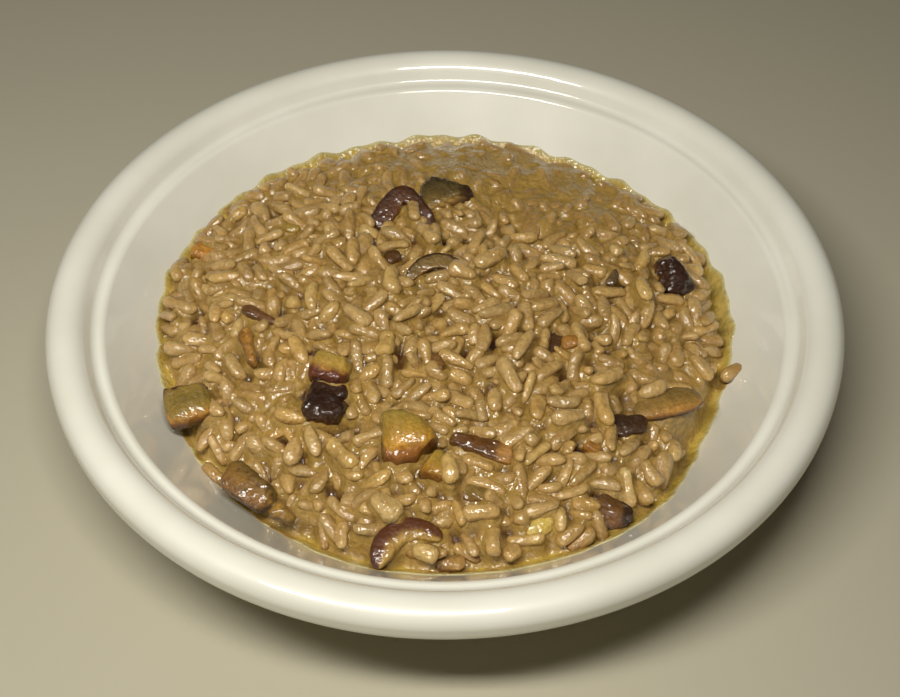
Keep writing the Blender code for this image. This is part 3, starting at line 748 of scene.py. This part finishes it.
@functools.lru_cache(maxsize=None)
def bed(length, width):
    """Lay grains one by one where the heap is lowest under its dome.

    Each grain tries many headings and tilts, comes down until it touches the height map, and keeps
    the pose that lies lowest. Then its own top is added to the map. Returns sizes, places and
    turning matrices of the grains, the finished map, and the map of the heap's core.
    """
    rng = np.random.default_rng(SEED)
    x, y = map_axes()
    radius, angle = np.hypot(x, y), np.arctan2(y, x)
    edge = shore_radius(angle)
    dome = heap_height(x, y)
    core = np.maximum(plate_height(radius), dome - CORE_DEPTH)
    solid = solid_map(SHAPES)
    heights = np.maximum(np.maximum(core, 0.0), solid)
    unrest = flat_lumps(x, y, 5.0, 5) + rng.uniform(-0.5, 0.5, x.shape)
    wet = wetness(x, y)
    # No part of a grain passes the kerb, and none is centred in the margin inside the shore or on a
    # piece that stands up to the dome.
    kerb = edge - KERB_DRY - KERB_WET * wet
    dome = dome - 1.0 * wet + DOME_UNREST * flat_lumps(x, y, 7.0, 9)
    margin = MARGIN + MARGIN_BAND * around(LIQUOR_BAND, angle) + MARGIN_UNEVEN * unrest
    closed = (radius > edge - margin) | (solid_map(PIECES) > dome - PIECE_COVER)
    open_bias = np.where(closed, CLOSED, unrest)
    bias = open_bias.copy()
    need = dome - heights + bias
    sizes = grain_sizes(rng, MOST_GRAINS, length, width)
    leans = np.clip(rng.normal(0, 18, len(sizes)), -50, 50)
    kept, places, turns = [], [], []
    queue = list(SET_GRAINS)
    stage = 0
    for size, lean in zip(sizes, leans):
        free = stage == len(PASSES)
        if not free:
            pressed, least, proud = PASSES[stage]
            row, column = divmod(int(np.argmax(need)), MAP_SIZE)
            if need[row, column] < least:
                stage += 1
                bias = open_bias.copy()
                need = dome - heights + bias
                continue
            headings = rng.uniform(0, 2 * math.pi, HEADINGS_TRIED)
        elif queue:
            set_x, set_y, set_heading, set_length, pale = queue.pop(0)
            row, column = (int(k) for k in nearest_cell(set_x, set_y))
            headings = np.radians(np.array([set_heading - 3, set_heading + 3]))
            size = np.array((set_length, size[1] + 0.1, size[2] + 0.1, size[3] * 0.6, size[4], pale))
            lean, pressed = 0.0, SET_GRAIN_PRESSED
        else:
            break
        cx, cy = column * MAP_CELL - MAP_HALF, row * MAP_CELL - MAP_HALF
        roll = rng.uniform(-25, 25)
        tilts = np.radians(lean + np.array(TILTS_TRIED))
        heading, tilt = (a.ravel() for a in np.meshgrid(headings, tilts))
        px, py, pz = contact_points(size, roll, heading, tilt, cx, cy)
        cells = nearest_cell(px, py)
        rest = np.partition(heights[cells] - pz, -pressed, axis=1)[:, -pressed]
        over_piece = (solid[cells] > heights[cells] - 0.3).mean(1)
        outside = (np.hypot(px, py) > kerb[cells]).any(1)
        cost = rest + COST_CHANCE * rng.random(len(rest))
        if not free:
            cost = cost + COST_ON_PIECE * over_piece + COST_OUTSIDE * outside
        pick = int(np.argmin(cost))
        z = rest[pick]
        if not free and (z + size[2] > dome[row, column] + proud
                         or over_piece[pick] > MOST_ON_PIECE or outside[pick]):
            cell = np.s_[max(row - 2, 0):row + 3, max(column - 2, 0):column + 3]
            need[cell] = bias[cell] = CLOSED
            continue
        turn = rotation("Z", math.degrees(heading[pick])) @ rotation("Y", -math.degrees(tilt[pick]))
        turn = turn @ rotation("X", roll)
        kept.append(size)
        places.append((cx, cy, z))
        turns.append(turn)
        reach = int(size[0] / 2 / MAP_CELL) + 3
        patch = np.s_[max(row - reach, 0):row + reach + 1, max(column - reach, 0):column + reach + 1]
        roof = grain_roof(size, turn, (cx, cy, z), x[patch], y[patch])
        heights[patch] = np.maximum(heights[patch], roof)
        need[patch] = dome[patch] - heights[patch] + bias[patch]
    return np.array(kept), np.array(places), np.array(turns), heights, core


def grain_grid(sizes, places, turns, seed):
    """Surface points of all grains at once: grains x (pole, rings x sides, pole).

    Along a grain u = sin(s), the radius is (1 - |u|^n)^0.5 times slow waves in u and round the
    section, and the midline bends evenly about the grain's own middle.
    """
    rng = np.random.default_rng(seed)
    count = len(sizes)
    long, half_width, half_thick, bend, full = (sizes[:, k, None, None] for k in range(5))
    u = np.sin(np.linspace(-math.pi / 2, math.pi / 2, GRAIN_RINGS + 2))[None, :, None]
    theta = (np.arange(GRAIN_SIDES) * 2 * math.pi / GRAIN_SIDES)[None, None]
    wave = rng.uniform(0, 2 * math.pi, (count, 4, 1, 1))
    strength = rng.uniform(0.05, 0.19, (count, 4, 1, 1))
    radius = np.sqrt(np.maximum(1 - np.abs(u) ** full, 0))
    radius = radius * (1 + strength[:, 0] * np.sin(2.4 * u + wave[:, 0])
                       + strength[:, 1] * np.sin(5 * u + wave[:, 1]) * 0.3
                       + strength[:, 2] * np.sin(2 * theta + wave[:, 2] + u) * 0.8
                       + strength[:, 3] * np.sin(3 * theta + wave[:, 3] - 2 * u) * 0.8)
    x = u * long / 2 * np.cos(bend * u / 4) + 0 * theta
    y = u * long / 2 * np.sin(bend * u / 4) + radius * half_width * np.cos(theta)
    y = y - (long / 12 * np.sin(bend / 4))
    z = radius * half_thick * np.sin(theta) + 0 * u
    grid = np.stack(np.broadcast_arrays(x, y, z), -1)
    body = grid[:, 1:-1].reshape(count, -1, 3)
    local = np.concatenate((grid[:, 0, :1], body, grid[:, -1, :1]), 1)
    return np.einsum("gij,gpj->gpi", turns, local) + places[:, None]


# --- sauce -----------------------------------------------------------------------------------
SAUCE_STEPS = 286
# The sauce holds on to a grain that stands this far above its level, or to a piece that lies at
# most this far below it, and climbs to this far below their tops, but no more than CLIMB (mm).
GRAIN_HOLD, PIECE_HOLD = 0.35, -1.5
GRAIN_LIP, PIECE_LIP = 0.1, 0.8
CLIMB = 1.0
SKIN_PULL = 0.93
SKIN_ROUNDS = 60
# Depth of the liquor on the plate, and how fast it deepens inwards from the shore (mm).
FILM_DEPTH = 2.2
FILM_RUN = 4.5
# Where the surface turns into that film, how deep it is at least, and how far its edge dips (mm).
FILM_FROM, FILM_WHOLE = 6.5, 2.0
FILM_LEAST = 0.6
EDGE_DIP = 0.4
# How smoothly the level follows the heap, and how far it lies over or under it (mm).
ROOF_BLUR, DRY_BLUR = 2.6, 0.9
WET_RISE, DRY_DROP, LEVEL_UNREST = 0.7, 1.8, 0.7
# Radii of the rings that close the sauce along the plate, as shares of the shore's.
UNDER_RINGS = (0.97, 0.92, 0.84, 0.72, 0.55, 0.3)
SAUCE_MIDDLE = "#9e7e3c"


@functools.lru_cache(maxsize=None)
def sauce_map(length, width):
    """The sauce's surface: a level that follows the heap, drawn up into menisci at every grain.

    The level is the blurred heap lowered where it is dry. Where a grain stands above it the surface
    is pinned to the grain just over the level, and between the pins it relaxes like a stretched
    skin on springs, so that it climbs each grain and bridges the narrow gaps.
    """
    _, _, _, heights, core = bed(length, width)
    x, y = map_axes()
    wet = wetness(x, y)
    wet_level = blurred(heights, ROOF_BLUR) + WET_RISE + LEVEL_UNREST * flat_lumps(x, y, 6.5, 21)
    dry_level = blurred(heights, DRY_BLUR) - DRY_DROP + LEVEL_UNREST * flat_lumps(x, y, 3.4, 22)
    level = np.maximum(wet_level * wet + dry_level * (1 - wet), core - 0.5)
    on_piece = solid_map(pieces()) > heights - 0.3
    pinned = heights > level + np.where(on_piece, PIECE_HOLD, GRAIN_HOLD)
    anchor = np.minimum(heights - np.where(on_piece, PIECE_LIP, GRAIN_LIP), level + CLIMB)
    surface = np.where(pinned, anchor, level)
    for _ in range(SKIN_ROUNDS):
        beside = (np.roll(surface, 1, 0) + np.roll(surface, -1, 0)
                  + np.roll(surface, 1, 1) + np.roll(surface, -1, 1)) / 4
        surface = np.where(pinned, anchor, beside * SKIN_PULL + level * (1 - SKIN_PULL))
    return blurred(surface, 0.3), heights


def concentric_disc(count):
    """A square grid bent to a disc: the larger of |a|, |b| is the radius, their ratio the angle."""
    line = np.linspace(-1, 1, count)
    a, b = np.meshgrid(line, line)
    wide = np.abs(a) > np.abs(b)
    safe_a, safe_b = np.where(a == 0, 1e-9, a), np.where(b == 0, 1e-9, b)
    radius = np.where(wide, a, b)
    angle = np.where(wide, math.pi / 4 * b / safe_a, math.pi / 2 - math.pi / 4 * a / safe_b)
    return radius * np.cos(angle), radius * np.sin(angle)


def sauce_shape(length, width):
    """The sauce as a closed solid: its surface to the shoreline, then back along the plate.

    Near the shore the surface becomes a film over the plate, FILM_DEPTH * (1 - e^(-inside /
    FILM_RUN)) deep. Its very edge dips just under the glaze, so that the fold there is hidden.
    """
    surface, heights = sauce_map(length, width)
    disc_x, disc_y = concentric_disc(SAUCE_STEPS)
    angle = np.arctan2(disc_y, disc_x)
    shore = shore_radius(angle)
    x, y = disc_x * shore, disc_y * shore
    plate = plate_height(np.hypot(x, y))
    inside = shore * (1 - np.hypot(disc_x, disc_y))
    film = FILM_DEPTH * (1 - np.exp(-inside / FILM_RUN))
    mapped = at(surface, x, y)
    near = smooth(FILM_FROM, FILM_WHOLE, inside)
    z = mapped * (1 - near) + np.minimum(mapped, plate + film) * near
    z = np.maximum(z, plate + np.minimum(film, FILM_LEAST)) - EDGE_DIP * smooth(0.7, 0.0, inside)

    points = [np.stack((x, y, z), -1).reshape(-1, 3)]
    edge, last = np.arange(SAUCE_STEPS - 1), SAUCE_STEPS - 1
    rim = np.concatenate((
        edge, edge * SAUCE_STEPS + last, SAUCE_STEPS * SAUCE_STEPS - 1 - edge, (last - edge) * SAUCE_STEPS))
    row, column = np.meshgrid(edge, edge, indexing="ij")
    here = row * SAUCE_STEPS + column
    quads = [np.stack((here, here + 1, here + 1 + SAUCE_STEPS, here + SAUCE_STEPS), -1).reshape(-1, 4)]
    rim_angle = angle.ravel()[rim]
    outer, start = rim, SAUCE_STEPS * SAUCE_STEPS
    for share in UNDER_RINGS:
        r = share * shore_radius(rim_angle)
        ring = (r * np.cos(rim_angle), r * np.sin(rim_angle), plate_height(r) + 0.05)
        points.append(np.stack(ring, -1))
        inner = np.arange(start, start + len(rim))
        quads.append(np.stack((outer, inner, np.roll(inner, -1), np.roll(outer, -1)), -1))
        outer, start = inner, start + len(rim)
    points = np.concatenate(points + [[(0, 0, FLOOR_HEIGHT + 0.05)]])
    fan = np.stack((outer, np.full(len(rim), start), np.roll(outer, -1)), -1)

    tint = sauce_tint(points[:x.size], heights, plate.ravel(), inside.ravel())
    below = np.broadcast_to(linear(SAUCE_MIDDLE), (len(points) - len(tint), 3))
    return points, np.concatenate(quads), fan, np.concatenate((tint, below))


def sauce_tint(points, heights, plate, inside):
    """Colour of the sauce: pale where thin on the plate, browner where deep, and painted shade that darkens
    it in the gaps deep under the heap's top.
    """
    x, y, z = points.T
    white, thin, middle, deep = (linear(c) for c in ("#c8c292", "#b4963c", SAUCE_MIDDLE, "#421d03"))
    under = np.maximum(at(heights, x, y), plate)
    depth = np.where(under < plate + 0.25, np.maximum(z - under, 0), 3.0)
    # Painted shade: where the sauce lies far under the blurred heap, in the gaps between grains, it is
    # blended to the dark colour deep, except where it is wet or near the shore.
    sunk = at(blurred(heights, ROOF_BLUR), x, y) - z
    gap = smooth(0.6, 3.4, sunk) * (1 - smooth(0.3, 0.9, wetness(x, y))) * smooth(3.0, 9.0, inside)
    tint = blend(white, thin, smooth(0.0, 0.8, depth))
    tint = blend(tint, middle, smooth(1.1, 2.8, depth))
    tint = blend(tint, deep, gap)
    noise = 0.5 + 0.5 * lumps(points, 4.0, 31)[:, None]
    return tint * (0.88 + 0.22 * noise)


# --- materials -------------------------------------------------------------------------------
def add_node(tree, kind, values=None, links=None, **settings):
    """Add a shader node, set its attributes and socket values, and link its inputs."""
    made = tree.nodes.new(kind)
    for name, value in settings.items():
        setattr(made, name, value)
    for socket, value in (values or {}).items():
        made.inputs[socket].default_value = value
    for socket, source in (links or {}).items():
        tree.links.new(source, made.inputs[socket])
    return made


def new_material(name):
    """An empty node material and its tree."""
    made = bpy.data.materials.new(name)
    made.use_nodes = True
    made.node_tree.nodes.clear()
    return made, made.node_tree


def finish_material(tree, values, links):
    """A Principled shader with these values and links, and the output that it feeds."""
    shader = add_node(tree, "ShaderNodeBsdfPrincipled", values, links)
    add_node(tree, "ShaderNodeOutputMaterial", links={"Surface": shader.outputs["BSDF"]})


def rgba(colour):
    """sRGB hex to a linear colour with full alpha."""
    return (*linear(colour), 1.0)


def grain_scale(period):
    """Noise scale whose lumps are the given size in mm, on Object coordinates in metres."""
    return 1.0 / (period * MM)


def bump_from(tree, source, period, height, detail=2.0):
    """A bump node from noise with lumps of that size (mm) and height (mm)."""
    noise = add_node(tree, "ShaderNodeTexNoise", {"Scale": grain_scale(period), "Detail": detail},
                     {"Vector": source})
    return add_node(tree, "ShaderNodeBump", {"Strength": 1.0, "Distance": height * MM},
                    {"Height": noise.outputs["Fac"]})


def glazed_porcelain():
    """Vitrified porcelain under a clear feldspar glaze, glost-fired.

    Warm white body, a hard glassy coat with crisp lights, and a faint orange-peel in the glaze.
    """
    made, tree = new_material("glazed_porcelain")
    place = add_node(tree, "ShaderNodeTexCoord").outputs["Object"]
    clouds = add_node(tree, "ShaderNodeTexNoise", {"Scale": grain_scale(30.0), "Detail": 3.0},
                      {"Vector": place})
    ramp = add_node(tree, "ShaderNodeValToRGB", links={"Fac": clouds.outputs["Fac"]})
    ramp.color_ramp.elements[0].color = rgba("#e3e1d2")
    ramp.color_ramp.elements[1].color = rgba("#ebe9dc")
    ramp.color_ramp.elements[0].position, ramp.color_ramp.elements[1].position = 0.35, 0.65
    peel = bump_from(tree, place, 6.0, 0.012)
    finish_material(tree, {"Roughness": 0.42, "IOR": 1.5, "Coat Weight": 1.0, "Coat Roughness": 0.06},
                    {"Base Color": ramp.outputs["Color"], "Coat Normal": peel.outputs["Normal"]})
    return made


def tinted_food(name, mottle_size, mottle, body, film, values):
    """A wet food surface: its own tint, finer mottling, soft bumps, and a film with finer ones.

    body and film are the size and height (mm) of the bumps of the food and of the wet film on it.
    """
    made, tree = new_material(name)
    place = add_node(tree, "ShaderNodeTexCoord").outputs["Object"]
    tint = add_node(tree, "ShaderNodeAttribute", attribute_name="tint").outputs["Color"]
    clouds = add_node(tree, "ShaderNodeTexNoise", {
        "Scale": grain_scale(mottle_size), "Detail": 4.0, "Roughness": 0.7}, {"Vector": place})
    shade = add_node(tree, "ShaderNodeMapRange", {
        "From Min": 0.3, "From Max": 0.7, "To Min": 1 - mottle, "To Max": 1 + mottle},
        {"Value": clouds.outputs["Fac"]})
    colour = add_node(tree, "ShaderNodeVectorMath", links={0: tint, 1: shade.outputs["Result"]},
                      operation="MULTIPLY")
    finish_material(tree, values, {
        "Base Color": colour.outputs["Vector"],
        "Normal": bump_from(tree, place, *body).outputs["Normal"],
        "Coat Normal": bump_from(tree, place, *film).outputs["Normal"]})
    return made


def cooked_rice():
    """Short-grain rice boiled in stock and glazed with its own starch.

    Translucent pale tan that glows at the edges, with a wet film that breaks the light into
    small sparkles.
    """
    return tinted_food("cooked_rice", 1.0, 0.2, (2.4, 0.8), (1.2, 0.6, 1.5), {
        "Roughness": 0.5, "IOR": 1.4, "Coat Weight": 1.0, "Coat Roughness": 0.035, "Coat IOR": 1.6,
        "Subsurface Weight": 0.4, "Subsurface Radius": (1.0, 0.6, 0.28), "Subsurface Scale": 1.2 * MM})


def starchy_sauce():
    """Stock thickened with starch and butter: smooth, cloudy tan, glossy and gently rippled."""
    return tinted_food("starchy_sauce", 2.0, 0.18, (1.8, 0.8), (1.2, 0.58, 1.5), {
        "Roughness": 0.5, "IOR": 1.36, "Coat Weight": 1.0, "Coat Roughness": 0.035, "Coat IOR": 1.56})


def stewed_mushroom():
    """Dried cep soaked and stewed: dark slick cuticle over spongy amber flesh, wet all over."""
    return tinted_food("stewed_mushroom", 0.7, 0.25, (1.2, 0.4), (1.8, 0.6, 1.0), {
        "Roughness": 0.5, "IOR": 1.36, "Coat Weight": 0.8, "Coat Roughness": 0.08})


# --- settings, operators and panel -----------------------------------------------------------
class RisottoSettings(bpy.types.PropertyGroup):
    grain_length: FloatProperty(
        name="Grain length", description="Usual length of a cooked grain",
        default=0.0098, unit="LENGTH", subtype="DISTANCE")
    grain_width: FloatProperty(
        name="Grain width", description="Usual width of a cooked grain",
        default=0.0040, unit="LENGTH", subtype="DISTANCE")
    rice_colour: FloatVectorProperty(
        name="Rice", description="Linear colour of a grain's back", subtype="COLOR", size=3,
        default=tuple(linear("#b69862")))
    # The colour of a grain low in the sauce: partly the sauce's colour on the wet grain, partly painted
    # shade where grains meet the sauce.
    rice_shade: FloatVectorProperty(
        name="Rice in sauce", description="Linear colour of a grain low in the sauce", subtype="COLOR",
        size=3, default=tuple(linear("#8e6424")))
    rice_chalk: FloatVectorProperty(
        name="Chalky rice", description="Linear colour of the palest grains", subtype="COLOR", size=3,
        default=tuple(linear("#c2a56a")))
    floor_colour: FloatVectorProperty(
        name="Floor", description="Linear colour of the floor", subtype="COLOR", size=3,
        default=tuple(linear("#b3ad98")))
    light_power: FloatProperty(
        name="Key light", description="Power of the soft key light", default=2.6, unit="POWER")


def ride_root(piece):
    """Put a piece on the one body."""
    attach(piece, "root")


class RISOTTO_OT_plate(bpy.types.Operator):
    """Turn the deep plate finely from its section, in place of its CAD solid"""
    bl_idname = "risotto.plate"
    bl_label = "Plate"

    def execute(self, context):
        points, quads, triangles = turned(plate_section(), PLATE_SEGMENTS)
        piece = mesh_piece("deep_plate", points, quads, triangles, glazed_porcelain())
        ride_root(piece)
        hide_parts("plate")
        return {"FINISHED"}


class RISOTTO_OT_mushrooms(bpy.types.Operator):
    """Shape the mushroom pieces, the onion and the small bits, in place of their CAD solids"""
    bl_idname = "risotto.mushrooms"
    bl_label = "Mushroom pieces"

    def execute(self, context):
        look = stewed_mushroom()
        quads, triangles = capped_tube(PIECE_STATIONS, PIECE_SIDES)
        for name, (points, tint) in pieces().items():
            piece = mesh_piece(name + "_flesh", points, quads, triangles, look, tint)
            ride_root(piece)
            if name in PIECES:
                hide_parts(name)
        return {"FINISHED"}


def shows(points, surface, heights):
    """Whether each grain shows: over two of its points clear the sauce and lie near the top."""
    x, y, z = np.moveaxis(points, -1, 0)
    clear = z > np.maximum(at(surface, x, y), at(heights, x, y) - 1.5) - 0.3
    return clear.sum(1) > 2


def grain_tint(points, own, lit, shade, surface, roof):
    """Colour of grains: warmed unevenly, browner low in the sauce (partly the sauce's colour on the wet
    grain, partly painted shade where it meets the sauce), and painted shade where they lie deep under the
    roof.

    own is a random share that all points of a grain have alike, and says how warm that grain is.
    """
    x, y, z = points.T
    warm = 0.3 + 0.3 * lumps(points, 14.0, 77) + 0.7 * np.mod(own * 37.7, 1.0) ** 2
    tint = lit * (1 + (np.array((1.04, 0.97, 0.76)) - 1) * warm[:, None])
    # Low on a grain, near the sauce's level: partly the sauce's colour on the wet grain, partly painted
    # shade where the grain meets the sauce.
    tint = blend(tint, shade, 0.7 * smooth(1.6, -0.6, z - at(surface, x, y)))
    # Painted shade: a grain turns deep brown where it lies far under the blurred top of the heap.
    return blend(tint, linear("#452306"), 0.85 * smooth(0.8, 3.8, at(roof, x, y) - z))


class RISOTTO_OT_rice(bpy.types.Operator):
    """Lay the grains of rice over the heap's core"""
    bl_idname = "risotto.rice"
    bl_label = "Rice grains"

    def execute(self, context):
        settings = context.scene.risotto
        length, width = settings.grain_length / MM, settings.grain_width / MM
        sizes, places, turns, heights, _ = bed(length, width)
        surface, _ = sauce_map(length, width)
        look = cooked_rice()
        grains = grain_grid(sizes, places, turns, SEED + 1)
        seen = shows(grains, surface, heights)
        base, shade, chalk = (np.array(getattr(settings, name)) for name in (
            "rice_colour", "rice_shade", "rice_chalk"))
        roof = blurred(heights, ROOF_BLUR)
        chalky = sizes[:, 5] > 0.93
        for name, chosen in (("rice_grains", seen & ~chalky), ("chalky_grains", seen & chalky)):
            count, per = grains[chosen].shape[:2]
            points = grains[chosen].reshape(-1, 3)
            own = np.repeat(sizes[chosen][:, 5], per)
            lit = base * (0.86 + 0.28 * own[:, None]) if name == "rice_grains" else chalk
            tint = grain_tint(points, own, lit, shade, surface, roof)
            quads, triangles = capped_tube(GRAIN_RINGS, GRAIN_SIDES)
            offsets = (np.arange(count) * per)[:, None, None]
            piece = mesh_piece(name, points, (quads + offsets).reshape(-1, 4),
                               (triangles + offsets).reshape(-1, 3), look, tint)
            ride_root(piece)
            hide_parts("rice_heap")
            print(name, count, "grains", len(piece.data.polygons), "faces")
        return {"FINISHED"}


class RISOTTO_OT_sauce(bpy.types.Operator):
    """Pour the sauce: the heap's core, the bridges between grains and the liquor on the wall"""
    bl_idname = "risotto.sauce"
    bl_label = "Sauce"

    def execute(self, context):
        settings = context.scene.risotto
        points, quads, fan, tint = sauce_shape(settings.grain_length / MM, settings.grain_width / MM)
        piece = mesh_piece("sauce", points, quads, fan, starchy_sauce(), tint)
        ride_root(piece)
        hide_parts("rice_heap", "broth")
        return {"FINISHED"}


class RISOTTO_OT_stage(bpy.types.Operator):
    """Set the floor, the soft lights and the camera"""
    bl_idname = "risotto.stage"
    bl_label = "Stage"

    def execute(self, context):
        settings = context.scene.risotto
        scene = context.scene
        half = 2.4
        made, tree = new_material("matt_table_top")
        finish_material(tree, {"Base Color": (*settings.floor_colour, 1.0), "Roughness": 0.7}, {})
        mesh = bpy.data.meshes.new("floor")
        mesh.from_pydata([(-half, -half, 0), (half, -half, 0), (half, half, 0), (-half, half, 0)], [],
                         [(0, 1, 2, 3)])
        mesh.materials.append(made)
        floor = bpy.data.objects.new("floor", mesh)
        scene.collection.objects.link(floor)

        hang_lamp("key_light", (-0.095, -0.210, 0.460), 24.0, (0.34, 0.07),
                 settings.light_power, (1.0, 0.97, 0.90))
        world = bpy.data.worlds.new("soft_room")
        world.use_nodes = True
        air = world.node_tree.nodes["Background"].inputs
        air["Color"].default_value = (1.0, 0.95, 0.84, 1.0)
        air["Strength"].default_value = 0.034
        scene.world = world

        camera = bpy.data.cameras.new("camera")
        camera.lens = 65.9
        camera.sensor_width = 36.0
        seat = bpy.data.objects.new("camera", camera)
        scene.collection.objects.link(seat)
        place = Vector((0.0, -0.3225, 0.3631))
        way = Vector((0.00297, 0.67859, -0.73451))
        seat.location = place
        seat.rotation_euler = way.to_track_quat("-Z", "Y").to_euler()
        scene.camera = seat
        scene.view_settings.view_transform = "Standard"
        return {"FINISHED"}


def hang_lamp(name, place, tilt, size, power, colour):
    """A rectangular area light that faces down, tilted by some degrees about the x axis."""
    lamp = bpy.data.lights.new(name, "AREA")
    lamp.shape = "RECTANGLE"
    lamp.size, lamp.size_y = size
    lamp.energy = power
    lamp.color = colour
    made = bpy.data.objects.new(name, lamp)
    bpy.context.scene.collection.objects.link(made)
    made.location = place
    made.rotation_euler = (math.radians(tilt), 0.0, 0.0)


OPERATORS = (RISOTTO_OT_plate, RISOTTO_OT_mushrooms, RISOTTO_OT_rice, RISOTTO_OT_sauce, RISOTTO_OT_stage)


class RISOTTO_PT_panel(bpy.types.Panel):
    """Settings of the risotto and a button for each group of its pieces"""
    bl_idname = "RISOTTO_PT_panel"
    bl_label = "Risotto"
    bl_space_type = "VIEW_3D"
    bl_region_type = "UI"
    bl_category = "Risotto"

    def draw(self, context):
        settings = context.scene.risotto
        for name in settings.bl_rna.properties.keys():
            if name not in ("rna_type", "name"):
                self.layout.prop(settings, name)
        for operator in OPERATORS:
            self.layout.operator(operator.bl_idname)


CLASSES = (RisottoSettings, *OPERATORS, RISOTTO_PT_panel)


def register():
    for made in CLASSES:
        bpy.utils.register_class(made)
    bpy.types.Scene.risotto = PointerProperty(type=RisottoSettings)


def unregister():
    del bpy.types.Scene.risotto
    for made in reversed(CLASSES):
        bpy.utils.unregister_class(made)


def main():
    register()
    bpy.ops.risotto.plate()
    bpy.ops.risotto.mushrooms()
    bpy.ops.risotto.rice()
    bpy.ops.risotto.sauce()
    bpy.ops.risotto.stage()


if __name__ == "__main__":
    main()
